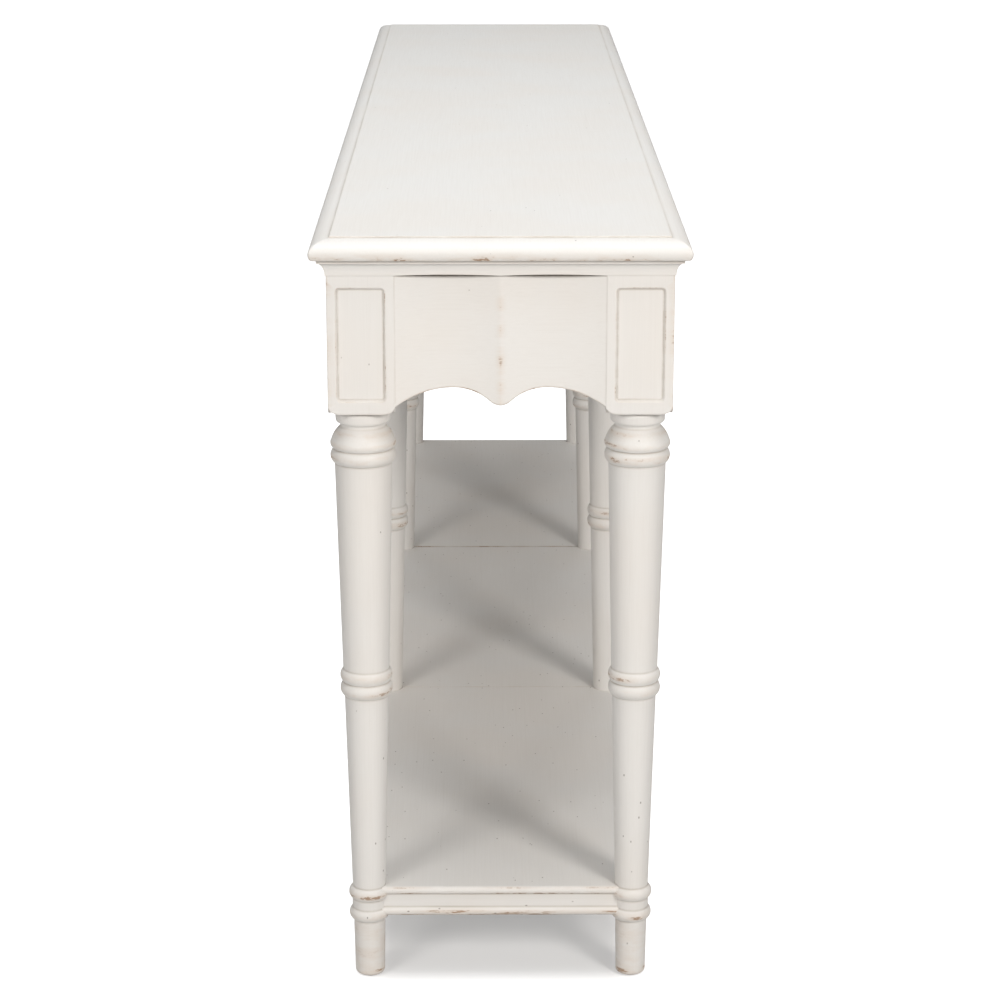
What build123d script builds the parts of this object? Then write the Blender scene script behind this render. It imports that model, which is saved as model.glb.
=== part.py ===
from build123d import *
import os

# Painted console table, in millimetres. Eight turned legs in four pairs carry a moulded top
# on scalloped aprons, with a low shelf along the whole length. The floor is Z = 0, the
# origin is under the table's centre, +X runs along the length and +Y towards the back.

# Driving dimensions
bay_count = 3
bay_length = 699  # leg centre to leg centre along the table
leg_span = 316  # leg centre to leg centre across the table
table_height = 912
head_size = 76  # square head of each leg
top_overhang = 19  # top past the legs' heads, all round

# Top board
top_thickness = 23
edge_run = 22.5  # moulded edge, from the quirk to the widest point
quirk_depth = 1.8
edge_widest_drop = 15.5  # widest point below the top face
under_round = 4  # width of the rounding under the widest point

# Cove moulding under the top
cove_height = 21
cove_lip = 1.2  # projection of the cove's lower edge
cove_reach = 10  # projection of the cove's upper edge
cove_fillet = 4  # upright band at the top of the cove
cove_relief = 1.6  # rise of the cove's lower edge over each scallop

# Aprons
apron_thickness = 22
apron_setback = 0.5  # apron's face behind the leg heads' faces
scallop_depth = 9  # hollow of each scallop in plan
apron_end_z = 717  # lower edge where it meets a leg
apron_crest_z = 738.5  # highest point of the lower edge
apron_tip_z = 719  # lower edge under the ridge
tip_share = 0.15  # the tip's rounding, as a share of the half length
crest_place = 0.44  # crest's place, as a share of the half length

# Leg heads and their panels
head_bottom_z = 708.5
head_corner_round = 5.5
panel_width = 56
panel_bottom_z = 723.5
panel_top_z = 855.5
panel_depth = 3.5
panel_corner = 5

head_overlap = 4  # how far the turned part is drawn up into the head

# Foot of a turned leg
foot_flat = 12.8  # radius of the flat under the foot
foot_round = 5

# Joints
tenon_thickness = 12
head_tenon_length = 20
head_tenon_inset = 25  # tenon's centre line from the head's centre line
apron_tenon_z = (765, 860)
bearer_tenon_z = (838, 880)
shelf_tenon_thickness = 10
shelf_tenon_reach = (6, 24)  # from the leg's axis
shelf_tenon_z = (85, 103)

# Shelf
shelf_top_z = 117.5
shelf_thickness = 10
leg_notch_radius = 24.9  # clears the turned ring that the shelf sits between
shelf_lip = 14.5  # shelf's edge past the legs' centre line
board_gap = 0.4  # open seam between two boards
rail_bottom_z = 80.5
rail_face = 11  # rail's face past the legs' centre line
rail_thickness = 18
rail_bead_height = 10.5
rail_bead_reach = 3.5

# Bearers, braces, screws and glides
bearer_thickness = 24
bearer_height = 60
brace_height = 40
brace_thickness = 22
screw_radius = 2.2
screw_head_radius = 4.4
screw_head_height = 3
top_screw_length = 12  # screw's bite into the top
shelf_screw_cover = 2.5  # wood left above a shelf screw
screw_spread = 27  # brace screw's place from the middle of the brace, along X and Y
bearer_screw_y = 70
rail_screw_y = 70
seam_screw_inset = 5  # screw's place from a seam between two boards
seam_screw_ys = (55, 85)
lag_radius = 3
lag_head_radius = 7
lag_head_height = 3
lag_bite = 30
glide_radius = 11
glide_thickness = 2
glide_pin_radius = 1.2
glide_pin_length = 14

# Places worked out from the driving dimensions
leg_y = leg_span / 2
leg_xs = [(i - bay_count / 2) * bay_length for i in range(bay_count + 1)]
end_x = leg_xs[-1]
head_half = head_size / 2
frame_x = end_x + head_half
frame_y = leg_y + head_half
top_x = frame_x + top_overhang
top_y = frame_y + top_overhang
top_under_z = table_height - top_thickness
widest_z = table_height - edge_widest_drop
shelf_under_z = shelf_top_z - shelf_thickness
sides = {"front": -1, "back": 1}
ends = {"left": -1, "right": 1}
middle_xs = leg_xs[1:-1]
spare = 10  # extra length of a bar that another shape trims


def block(x_range, y_range, z_range):
    """Rectangular block between three pairs of limits, given in either order."""
    lows = [min(r) for r in (x_range, y_range, z_range)]
    sizes = [abs(r[1] - r[0]) for r in (x_range, y_range, z_range)]
    align = (Align.MIN, Align.MIN, Align.MIN)
    return Pos(*lows) * Box(*sizes, align=align)


def along_x(section, length):
    """A section drawn as (Y, Z), run along X, centred."""
    return extrude(Plane.YZ * section, amount=length / 2, both=True)


def along_y(section, length):
    """A section drawn as (X, Z), run along Y, centred."""
    return extrude(Plane.XZ * section, amount=length / 2, both=True)


# The top board


def top_section(half):
    """Half of the top's cross-section: field, quirk, thumbnail edge and rounded underside."""
    field = half - edge_run
    below_quirk = table_height - quirk_depth
    under = half - under_round
    thumbnail = EllipticalCenterArc(
        (field, widest_z), edge_run, below_quirk - widest_z, start_angle=0, arc_size=90
    )
    rounding = EllipticalCenterArc(
        (under, widest_z), under_round, widest_z - top_under_z, start_angle=-90, arc_size=90
    )
    outline = [
        Line((0, top_under_z), (under, top_under_z)),
        rounding,
        thumbnail,
        Line((field, below_quirk), (field, table_height)),
        Line((field, table_height), (0, table_height)),
        Line((0, table_height), (0, top_under_z)),
    ]
    right = make_face(outline)
    return right + mirror(right, about=Plane.YZ)


def make_top_board():
    """Two moulded bars, one each way, whose common part has mitred corners."""
    lengthways = along_x(top_section(top_y), 2 * top_x + 2 * spare)
    crossways = along_y(top_section(top_x), 2 * top_y + 2 * spare)
    return lengthways & crossways


# The cove mouldings


def cove_section(half):
    """Cove on the face of the frame at distance half from the centre."""
    low_z = top_under_z - cove_height
    high_z = top_under_z - cove_fillet
    hollow = EllipticalCenterArc(
        (half + cove_reach, low_z),
        cove_reach - cove_lip,
        high_z - low_z,
        start_angle=90,
        arc_size=90,
    )
    outline = [
        Line((half, low_z), (half + cove_lip, low_z)),
        hollow,
        Line((half + cove_reach, high_z), (half + cove_reach, top_under_z)),
        Line((half + cove_reach, top_under_z), (half, top_under_z)),
        Line((half, top_under_z), (half, low_z)),
    ]
    return make_face(outline)


def relief(start, length):
    """Shallow arch under the cove, over one scallop, drawn as (place, Z)."""
    low_z = top_under_z - cove_height
    middle = (start + length / 2, low_z + cove_relief)
    arch = ThreePointArc((start, low_z), middle, (start + length, low_z))
    return make_face([arch, Line(arch @ 1, arch @ 0)])


def mitre_plan(half_long, half_short):
    """Plan of one mitred side, centred on X, outside the frame's +Y face."""
    reach = cove_reach
    corners = [
        (-half_long, half_short),
        (half_long, half_short),
        (half_long + reach, half_short + reach),
        (-half_long - reach, half_short + reach),
    ]
    return make_face(Polyline(*corners, close=True))


def make_cove(half_long, half_short, turn, scallops):
    """One cove, made on the +Y side of the frame and turned to its place."""
    length = 2 * (half_long + cove_reach)
    bar = along_x(cove_section(half_short), length)
    mitre = extrude(Pos(0, 0, top_under_z - cove_height) * mitre_plan(half_long, half_short), cove_height)
    cove = bar & mitre
    for start, scallop in scallops:
        cove -= extrude(Plane.XZ * relief(start, scallop), amount=-(half_short + 2 * cove_reach))
    return Rot(0, 0, turn) * cove


# The aprons


def apron_plan(half):
    """Serpentine plan: two hollow scallops that meet in a ridge. The face looks along +Y."""
    face = -apron_setback
    back = -apron_thickness
    deepest = face - scallop_depth
    outline = [
        ThreePointArc((-half, face), (-half / 2, deepest), (0, face)),
        ThreePointArc((0, face), (half / 2, deepest), (half, face)),
        Line((half, face), (half, back)),
        Line((half, back), (-half, back)),
        Line((-half, back), (-half, face)),
    ]
    return make_face(outline)


def apron_elevation(half):
    """Front view of an apron: two arches, level at their crests, with a rounded point between."""
    crest = (crest_place * half, apron_crest_z)
    rise = apron_crest_z - apron_tip_z
    tip_round = tip_share * half
    arch_round = (rise**2 - 2 * rise * tip_round + crest[0] ** 2) / (2 * rise)
    share = tip_round / (tip_round + arch_round)
    drop = (arch_round + tip_round - rise) * share
    meeting = (crest[0] * share, apron_tip_z + tip_round - drop)
    outline = [
        TangentArc((0, apron_tip_z), meeting, tangent=(1, 0)),
        TangentArc(crest, meeting, tangent=(-1, 0)),
        TangentArc(crest, (half, apron_end_z), tangent=(1, 0)),
        Line((half, apron_end_z), (half, top_under_z)),
        Line((half, top_under_z), (0, top_under_z)),
        Line((0, top_under_z), (0, apron_tip_z)),
    ]
    right = make_face(outline)
    return right + mirror(right, about=Plane.YZ)


def make_apron(half):
    """Apron between two leg heads, face along +Y at Y = 0, with its two tenons."""
    plan = extrude(Pos(0, 0, head_bottom_z) * apron_plan(half), top_under_z - head_bottom_z)
    apron = plan & along_y(apron_elevation(half), 4 * apron_thickness)
    tenon_y = head_tenon_inset - head_half
    for side in (-1, 1):
        apron += block(
            (side * half, side * (half + head_tenon_length)),
            (tenon_y - tenon_thickness / 2, tenon_y + tenon_thickness / 2),
            apron_tenon_z,
        )
    return apron


# The legs


def turned_section():
    """Half section of a turned leg, as (radius, Z), from the foot up into its head."""
    foot_z = glide_thickness
    foot_side = foot_flat + foot_round
    inside_z = head_bottom_z + head_overlap
    outline = [
        Line((0, foot_z), (foot_flat, foot_z)),
        RadiusArc((foot_flat, foot_z), (foot_side, foot_z + foot_round), -foot_round),
        Line((foot_side, foot_z + foot_round), (18.9, 73.3)),
        ThreePointArc((18.9, 73.3), (24.1, 81.2), (20.5, 89)),
        Line((20.5, 89), (20.5, 100.8)),
        ThreePointArc((20.5, 100.8), (24.5, 108.7), (19.9, 116.5)),
        Line((19.9, 116.5), (25.9, 359.7)),
        ThreePointArc((25.9, 359.7), (30.8, 369), (27.2, 377.2)),
        ThreePointArc((27.2, 377.2), (30.8, 385), (27.2, 393)),
        Line((27.2, 393), (33.2, 644.5)),
        ThreePointArc((33.2, 644.5), (38, 653.6), (33.6, 661.8)),
        ThreePointArc((33.6, 661.8), (37.9, 666.6), (36.8, 672)),
        ThreePointArc((36.8, 672), (33, 680), (26.6, 686.6)),
        ThreePointArc((26.6, 686.6), (27.2, 690.2), (30.2, 691.6)),
        Line((30.2, 691.6), (31.2, 693.2)),
        Line((31.2, 693.2), (31.2, inside_z)),
        Line((31.2, inside_z), (0, inside_z)),
        Line((0, inside_z), (0, foot_z)),
    ]
    return Plane.XZ * make_face(outline)


def make_head():
    """Square head, its lower corners rounded as they are on the lathe."""
    corner = head_half * 2**0.5 + 1
    round_r = head_corner_round
    top = top_under_z
    outline = [
        Line((0, head_bottom_z), (corner - round_r, head_bottom_z)),
        RadiusArc((corner - round_r, head_bottom_z), (corner, head_bottom_z + round_r), -round_r),
        Line((corner, head_bottom_z + round_r), (corner, top)),
        Line((corner, top), (0, top)),
        Line((0, top), (0, head_bottom_z)),
    ]
    spun = revolve(Plane.XZ * make_face(outline), Axis.Z)
    square = block((-head_half, head_half), (-head_half, head_half), (head_bottom_z, top))
    return square & spun


def panel_cutter(turn):
    """Recessed panel on the head's +Y face, turned about the leg's axis."""
    middle_z = (panel_bottom_z + panel_top_z) / 2
    face = Plane(origin=(0, head_half, middle_z), x_dir=(1, 0, 0), z_dir=(0, -1, 0))
    shape = RectangleRounded(panel_width, panel_top_z - panel_bottom_z, panel_corner)
    return Rot(0, 0, turn) * extrude(face * shape, amount=panel_depth, taper=45)


def shelf_tenon(x, y, toward_x, toward_y):
    """Tenon of a shelf rail in a leg, reaching from near the axis towards the rail."""
    near, far = shelf_tenon_reach
    half = shelf_tenon_thickness / 2
    if toward_x:
        return block((x + toward_x * near, x + toward_x * far), (y - half, y + half), shelf_tenon_z)
    return block((x - half, x + half), (y + toward_y * near, y + toward_y * far), shelf_tenon_z)


def make_leg(index, side, turned):
    """Leg of pair number index: head with its panels, turning, and all its mortises."""
    x = leg_xs[index]
    y = side * leg_y
    end = -1 if index == 0 else 1 if index == bay_count else 0
    leg = Pos(x, y, 0) * (turned + make_head())
    leg -= Pos(x, y, 0) * panel_cutter(0 if side > 0 else 180)
    if end:
        leg -= Pos(x, y, 0) * panel_cutter(-90 * end)
    half = tenon_thickness / 2
    deep = head_half - head_tenon_length
    for toward in (-1, 1):
        if toward == end:
            continue
        across = y + side * head_tenon_inset
        leg -= block(
            (x + toward * deep, x + toward * head_half), (across - half, across + half), apron_tenon_z
        )
        leg -= shelf_tenon(x, y, toward, 0)
    tenon_x = x + end * head_tenon_inset
    leg -= block(
        (tenon_x - half, tenon_x + half),
        (y - side * deep, y - side * head_half),
        apron_tenon_z if end else bearer_tenon_z,
    )
    return leg - shelf_tenon(x, y, 0, -side)


# The shelf


def rail_section():
    """Shelf rail as (outward, Z) from the legs' centre line, with a bead on its lower edge."""
    bead_top = rail_bottom_z + rail_bead_height
    bead_middle = (rail_face + rail_bead_reach, rail_bottom_z + rail_bead_height / 2)
    inner = rail_face - rail_thickness
    outline = [
        ThreePointArc((rail_face, rail_bottom_z), bead_middle, (rail_face, bead_top)),
        Line((rail_face, bead_top), (rail_face, shelf_under_z)),
        Line((rail_face, shelf_under_z), (inner, shelf_under_z)),
        Line((inner, shelf_under_z), (inner, rail_bottom_z)),
        Line((inner, rail_bottom_z), (rail_face, rail_bottom_z)),
    ]
    return make_face(outline)


def make_side_rail(bay, side, turned):
    """Rail along one bay, coped to the turned legs at both ends."""
    start, stop = leg_xs[bay], leg_xs[bay + 1]
    section = rail_section() if side > 0 else mirror(rail_section(), about=Plane.YZ)
    rail = Pos((start + stop) / 2, side * leg_y, 0) * along_x(section, bay_length)
    for x, toward in ((start, 1), (stop, -1)):
        rail -= Pos(x, side * leg_y, 0) * turned
        rail += shelf_tenon(x, side * leg_y, toward, 0)
    return rail


def make_cross_rail(x, end, turned):
    """Rail across one pair of legs: moulded at the table's ends, plain between the bays."""
    if end:
        section = rail_section() if end > 0 else mirror(rail_section(), about=Plane.YZ)
        rail = Pos(x, 0, 0) * along_y(section, leg_span)
    else:
        half = rail_thickness / 2
        rail = block((x - half, x + half), (-leg_y, leg_y), (rail_bottom_z, shelf_under_z))
    for side in sides.values():
        rail -= Pos(x, side * leg_y, 0) * turned
        rail += shelf_tenon(x, side * leg_y, 0, -side)
    return rail


def shelf_section(half):
    """Flat board with bullnosed edges."""
    middle_z = shelf_top_z - shelf_thickness / 2
    nose = shelf_thickness / 2
    straight = half - nose
    right_nose = ThreePointArc((straight, shelf_under_z), (half, middle_z), (straight, shelf_top_z))
    left_nose = ThreePointArc((-straight, shelf_top_z), (-half, middle_z), (-straight, shelf_under_z))
    return make_face(
        [right_nose, Line(right_nose @ 1, left_nose @ 0), left_nose, Line(left_nose @ 1, right_nose @ 0)]
    )


def make_shelf_boards():
    """The shelf, notched round the legs and parted at the middle pairs of legs."""
    half_x = end_x + shelf_lip
    half_y = leg_y + shelf_lip
    lengthways = along_x(shelf_section(half_y), 2 * half_x + 2 * spare)
    crossways = along_y(shelf_section(half_x), 2 * half_y + 2 * spare)
    shelf = lengthways & crossways
    notch = Cylinder(leg_notch_radius, 4 * shelf_thickness)
    for x in leg_xs:
        for side in sides.values():
            shelf -= Pos(x, side * leg_y, shelf_top_z) * notch
    seams = [-half_x - board_gap] + middle_xs + [half_x + board_gap]
    boards = []
    for start, stop in zip(seams, seams[1:]):
        limits = (start + board_gap / 2, stop - board_gap / 2)
        boards.append(shelf & block(limits, (-half_y, half_y), (shelf_under_z, shelf_top_z)))
    return boards


# Bearers, braces and fasteners


def make_bearer(x):
    """Bearer under the top, tenoned between the heads of one middle pair of legs."""
    half = bearer_thickness / 2
    inner = leg_y - head_half
    bearer = block((x - half, x + half), (-inner, inner), (top_under_z - bearer_height, top_under_z))
    reach = inner + head_tenon_length
    tongue = tenon_thickness / 2
    return bearer + block((x - tongue, x + tongue), (-reach, reach), bearer_tenon_z)


def brace_corner(end, side):
    """Inner corner of the end leg's head, which the brace bears on."""
    return end * (end_x - head_half), side * (leg_y - head_half)


def make_brace(end, side):
    """Bar across the frame's inner corner, between the side apron and the end apron."""
    corner_x, corner_y = end_x - head_half, leg_y - head_half
    apron_y = frame_y - apron_thickness
    apron_x = frame_x - apron_thickness
    reach = corner_x + corner_y
    inner = reach - brace_thickness * 2**0.5
    corners = [
        (reach - apron_y, apron_y),
        (apron_x, reach - apron_x),
        (apron_x, inner - apron_x),
        (inner - apron_y, apron_y),
    ]
    plan = make_face(Polyline(*[(end * cx, side * cy) for cx, cy in corners], close=True))
    return extrude(Pos(0, 0, top_under_z - brace_height) * plan, brace_height)


def wood_screw(length):
    """Countersunk screw that points up, its head's face at Z = 0."""
    shank = Pos(0, 0, length / 2) * Cylinder(screw_radius, length)
    head = Pos(0, 0, screw_head_height / 2) * Cone(screw_head_radius, screw_radius, screw_head_height)
    return shank + head


def make_lag_screws():
    """One lag screw through each brace, square to it, into the leg's head."""
    middle_z = top_under_z - brace_height / 2
    length = brace_thickness + lag_bite
    shank = Pos(0, 0, length / 2) * Cylinder(lag_radius, length)
    head = Pos(0, 0, -lag_head_height / 2) * Cylinder(lag_head_radius, lag_head_height)
    screws = []
    for end in ends.values():
        for side in sides.values():
            x, y = brace_corner(end, side)
            back = brace_thickness / 2**0.5
            start = Plane(origin=(x - end * back, y - side * back, middle_z), z_dir=(end, side, 0))
            screws.append(start * (shank + head))
    return screws


def make_top_screws():
    """Screws up into the top: two in each brace and two in each bearer."""
    screws = []
    for end in ends.values():
        for side in sides.values():
            x, y = brace_corner(end, side)
            inset = brace_thickness / 2 / 2**0.5
            for shift in (-screw_spread, screw_spread):
                place = (x - end * (inset - shift), y - side * (inset + shift), top_under_z - brace_height)
                screws.append(Pos(*place) * wood_screw(brace_height + top_screw_length))
    for x in middle_xs:
        for side in sides.values():
            place = (x, side * bearer_screw_y, top_under_z - bearer_height)
            screws.append(Pos(*place) * wood_screw(bearer_height + top_screw_length))
    return screws


def make_shelf_screws():
    """Screws up into the shelf boards, through the rails across the table."""
    places = [(end * end_x, side * rail_screw_y) for end in ends.values() for side in sides.values()]
    near_y, far_y = seam_screw_ys
    for x in middle_xs:
        left, right = x - seam_screw_inset, x + seam_screw_inset
        places += [(left, -near_y), (left, far_y), (right, -far_y), (right, near_y)]
    length = shelf_top_z - shelf_screw_cover - rail_bottom_z
    return [Pos(x, y, rail_bottom_z) * wood_screw(length) for x, y in places]


def make_glides():
    """Nail-on glide under every foot."""
    disc = Pos(0, 0, glide_thickness / 2) * Cylinder(glide_radius, glide_thickness)
    pin_z = glide_thickness + glide_pin_length / 2
    glide = disc + Pos(0, 0, pin_z) * Cylinder(glide_pin_radius, glide_pin_length)
    return [Pos(x, side * leg_y, 0) * glide for x in leg_xs for side in sides.values()]


def without(piece, cutters):
    """The piece, drilled for every cutter that reaches it."""
    box = piece.bounding_box()
    for cutter in cutters:
        other = cutter.bounding_box()
        apart = (
            other.min.X > box.max.X
            or other.max.X < box.min.X
            or other.min.Y > box.max.Y
            or other.max.Y < box.min.Y
            or other.min.Z > box.max.Z
            or other.max.Z < box.min.Z
        )
        if not apart:
            piece -= cutter
    return piece


# Assembly

turned_leg = revolve(turned_section(), Axis.Z)
lag_screws = make_lag_screws()
top_screws = make_top_screws()
shelf_screws = make_shelf_screws()
glides = make_glides()
fasteners = lag_screws + top_screws + shelf_screws + glides

nodes = {"top_board": make_top_board()}

bay_half = (bay_length - head_size) / 2
end_half = leg_y - head_half
side_scallops = [
    (x + offset, bay_half) for x in leg_xs[:-1] for offset in (head_half, head_half + bay_half)
]
end_scallops = [(-end_half, end_half), (0, end_half)]
for name, side in sides.items():
    nodes[f"cove_{name}"] = make_cove(frame_x, frame_y, 0 if side > 0 else 180, side_scallops)
for name, end in ends.items():
    nodes[f"cove_{name}"] = make_cove(frame_y, frame_x, -90 * end, end_scallops)

for index in range(bay_count + 1):
    for name, side in sides.items():
        nodes[f"leg_{name}_{index + 1}"] = make_leg(index, side, turned_leg)

side_apron = make_apron(bay_half)
end_apron = make_apron(end_half)
for name, side in sides.items():
    for bay in range(bay_count):
        place = Pos(leg_xs[bay] + bay_length / 2, side * frame_y, 0)
        nodes[f"apron_{name}_{bay + 1}"] = place * Rot(0, 0, 0 if side > 0 else 180) * side_apron
for name, end in ends.items():
    nodes[f"apron_{name}"] = Pos(end * frame_x, 0, 0) * Rot(0, 0, -90 * end) * end_apron

for number, x in enumerate(middle_xs):
    nodes[f"bearer_{number + 1}"] = make_bearer(x)
    nodes[f"shelf_cross_rail_{number + 1}"] = make_cross_rail(x, 0, turned_leg)
for end_name, end in ends.items():
    nodes[f"shelf_rail_{end_name}"] = make_cross_rail(end * end_x, end, turned_leg)
    for side_name, side in sides.items():
        nodes[f"corner_brace_{side_name}_{end_name}"] = make_brace(end, side)
for name, side in sides.items():
    for bay in range(bay_count):
        nodes[f"shelf_rail_{name}_{bay + 1}"] = make_side_rail(bay, side, turned_leg)
for number, board in enumerate(make_shelf_boards()):
    nodes[f"shelf_board_{number + 1}"] = board

nodes = {name: without(piece, fasteners) for name, piece in nodes.items()}
nodes["lag_screws"] = Compound(children=lag_screws)
nodes["top_screws"] = Compound(children=top_screws)
nodes["shelf_screws"] = Compound(children=shelf_screws)
nodes["foot_glides"] = Compound(children=glides)

os.makedirs("parts", exist_ok=True)
for name, piece in nodes.items():
    export_step(piece, f"parts/{name}.step")
print(len(nodes), "nodes")
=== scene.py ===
from math import asin, atan2, copysign, cos, hypot, pi, radians, sin, sqrt

import bmesh
import bpy
from mathutils import Matrix, Vector, noise


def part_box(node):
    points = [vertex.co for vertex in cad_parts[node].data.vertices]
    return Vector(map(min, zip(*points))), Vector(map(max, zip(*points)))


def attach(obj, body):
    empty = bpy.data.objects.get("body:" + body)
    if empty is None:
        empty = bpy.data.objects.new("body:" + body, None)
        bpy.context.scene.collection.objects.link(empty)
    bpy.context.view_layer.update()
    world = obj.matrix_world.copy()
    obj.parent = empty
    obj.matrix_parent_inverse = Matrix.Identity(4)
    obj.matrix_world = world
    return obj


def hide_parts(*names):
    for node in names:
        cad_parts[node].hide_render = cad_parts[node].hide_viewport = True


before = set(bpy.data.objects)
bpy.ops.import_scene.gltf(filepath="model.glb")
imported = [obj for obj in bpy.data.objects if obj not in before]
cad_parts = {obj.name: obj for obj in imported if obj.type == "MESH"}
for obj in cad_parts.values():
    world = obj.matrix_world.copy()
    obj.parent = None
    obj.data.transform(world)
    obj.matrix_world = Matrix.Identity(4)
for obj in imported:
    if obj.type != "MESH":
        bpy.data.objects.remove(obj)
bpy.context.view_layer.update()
mm = 0.001
sameSpot = 0.00001  # points closer than this are one point

print("stage: the camera and the studio")

studio = {
    "cameraAt": (4.171, -0.016, 1.4877),
    "cameraDown": 0.2777,  # pitch, radians
    "cameraTurn": 0.005,  # towards +Y, radians
    "lens": 100.8,
    "worldTint": (1.0, 0.965, 0.93),
    "worldStrength": 0.15,
    "backdropStrength": 1.0,
    "floorSize": 80.0,
    "floorTint": (0.64, 0.64, 0.64),
    "floorGlowNear": 0.30,
    "floorGlowFar": 1.0,
    "shadowHalf": (1.04, 0.13, 1.0),  # painted shadow: dimmer patch of floor, between the feet
    "shadowFade": 0.075,
}


def addObject(name, data):
    thing = bpy.data.objects.new(name, data)
    bpy.context.scene.collection.objects.link(thing)
    return thing


def addNode(tree, kind, values=None, **settings):
    node = tree.nodes.new(kind)
    for key, value in settings.items():
        setattr(node, key, value)
    for key, value in (values or {}).items():
        if isinstance(value, bpy.types.NodeSocket):
            tree.links.new(value, node.inputs[key])
        else:
            node.inputs[key].default_value = value
    return node


camera = addObject("studioCamera", bpy.data.cameras.new("studioCamera"))
camera.data.lens = studio["lens"]
camera.data.clip_end = 200
camera.location = studio["cameraAt"]
level = cos(studio["cameraDown"])
looking = Vector((
    -cos(studio["cameraTurn"]) * level,
    sin(studio["cameraTurn"]) * level,
    -sin(studio["cameraDown"]),
))
camera.rotation_euler = looking.to_track_quat("-Z", "Y").to_euler()
bpy.context.scene.camera = camera

world = bpy.data.worlds.new("studioWorld")
bpy.context.scene.world = world
world.use_nodes = True
skyTree = world.node_tree
softSky = skyTree.nodes["Background"]
softSky.inputs["Color"].default_value = (*studio["worldTint"], 1)
softSky.inputs["Strength"].default_value = studio["worldStrength"]
values = {"Color": (1, 1, 1, 1), "Strength": studio["backdropStrength"]}
plainSky = addNode(skyTree, "ShaderNodeBackground", values).outputs[0]
seen = addNode(skyTree, "ShaderNodeLightPath").outputs["Is Camera Ray"]
eitherSky = addNode(skyTree, "ShaderNodeMixShader", {0: seen, 1: softSky.outputs[0], 2: plainSky})
skyTree.links.new(eitherSky.outputs[0], skyTree.nodes["World Output"].inputs["Surface"])
bpy.context.scene.view_settings.view_transform = "Standard"


def softLight(name, at, aim, size, power, tint):
    lamp = bpy.data.lights.new(name, "AREA")
    lamp.shape = "RECTANGLE"
    lamp.size, lamp.size_y = size
    lamp.energy = power
    lamp.color = tint
    light = addObject(name, lamp)
    light.location = at
    light.rotation_euler = (Vector(aim) - Vector(at)).to_track_quat("-Z", "Y").to_euler()


softLight("keyRight", (4.5, 2.4, 2.6), (0.2, 0, 0.3), (1.1, 1.1), 111, (1.0, 0.965, 0.93))
softLight("fillLeft", (4.5, -2.5, 2.3), (0.2, 0, 0.3), (1.5, 1.5), 71, (1.0, 0.975, 0.945))
softLight("topBox", (0.2, 0, 3.4), (0.2, 0, 0), (4.5, 2.5), 84, (0.945, 0.975, 1.0))


def noiseAt(tree, place, scale, detail, rough=0.5):
    values = {"Vector": place, "Scale": scale, "Detail": detail, "Roughness": rough}
    return addNode(tree, "ShaderNodeTexNoise", values).outputs[0]


def rampTo(tree, value, low, high, toLow=0.0, toHigh=1.0):
    values = {"Value": value, "From Min": low, "From Max": high, "To Min": toLow, "To Max": toHigh}
    return addNode(tree, "ShaderNodeMapRange", values, interpolation_type="SMOOTHSTEP").outputs[0]


def combine(tree, how, first, second):
    return addNode(tree, "ShaderNodeMath", {0: first, 1: second}, operation=how).outputs[0]


def times(tree, first, second):
    return combine(tree, "MULTIPLY", first, second)


def tintMix(tree, share, first, second, how="MIX"):
    node = addNode(tree, "ShaderNodeMix", {0: share, 6: first, 7: second}, data_type="RGBA")
    node.blend_type = how
    return node.outputs[2]


def newMaterial(name):
    material = bpy.data.materials.new(name)
    material.use_nodes = True
    tree = material.node_tree
    place = addNode(tree, "ShaderNodeTexCoord").outputs["Object"]
    return material, tree, tree.nodes["Principled BSDF"], place


def stretched(tree, place, axis, share):
    # the place with one axis squeezed, so that a pattern runs long that way
    scale = [1.0, 1.0, 1.0]
    scale[axis] = share
    return addNode(tree, "ShaderNodeMapping", {"Vector": place, "Scale": scale}).outputs[0]


def plug(tree, shader, values):
    for key, value in values.items():
        tree.links.new(value, shader.inputs[key])


def bumpFrom(tree, height, strength, distance):
    values = {"Strength": strength, "Distance": distance, "Height": height}
    return addNode(tree, "ShaderNodeBump", values).outputs[0]


paint = {
    "creamWarm": (0.802, 0.771, 0.732, 1),
    "creamCool": (0.802, 0.784, 0.756, 1),
    # brown for the strokes and the grain, and for the glaze, which also carries painted shade
    "glazeAndShadeTint": (0.36, 0.29, 0.215, 1),
    "rubTint": (0.62, 0.455, 0.315, 1),
    "woodTint": (0.34, 0.205, 0.12, 1),
    "speckTint": (0.17, 0.13, 0.10, 1),
    "strokeStretch": 0.02,  # brush strokes are this much finer across than along
    "strokeScale": 520,
    "grainStretch": 0.006,
    "grainScale": 420,
    "patchStretch": (0.34, 0.34, 1.0),  # patches lie level
    "patchAlong": 0.14,  # and run long where the grain is level too
    "patchMove": (0.31, 0.17, 0.0055),
    "patchScale": 58,
    "crumbScale": 420,
    "cloudScale": 5.5,
    "speckStretch": 0.6,
    "speckScale": 95.0,
    "lowWear": (0.42, 0.03),  # heights between which the legs get more chipped
    "bumpStrength": 0.22,
    "bumpDepth": 0.0004,
}


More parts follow.
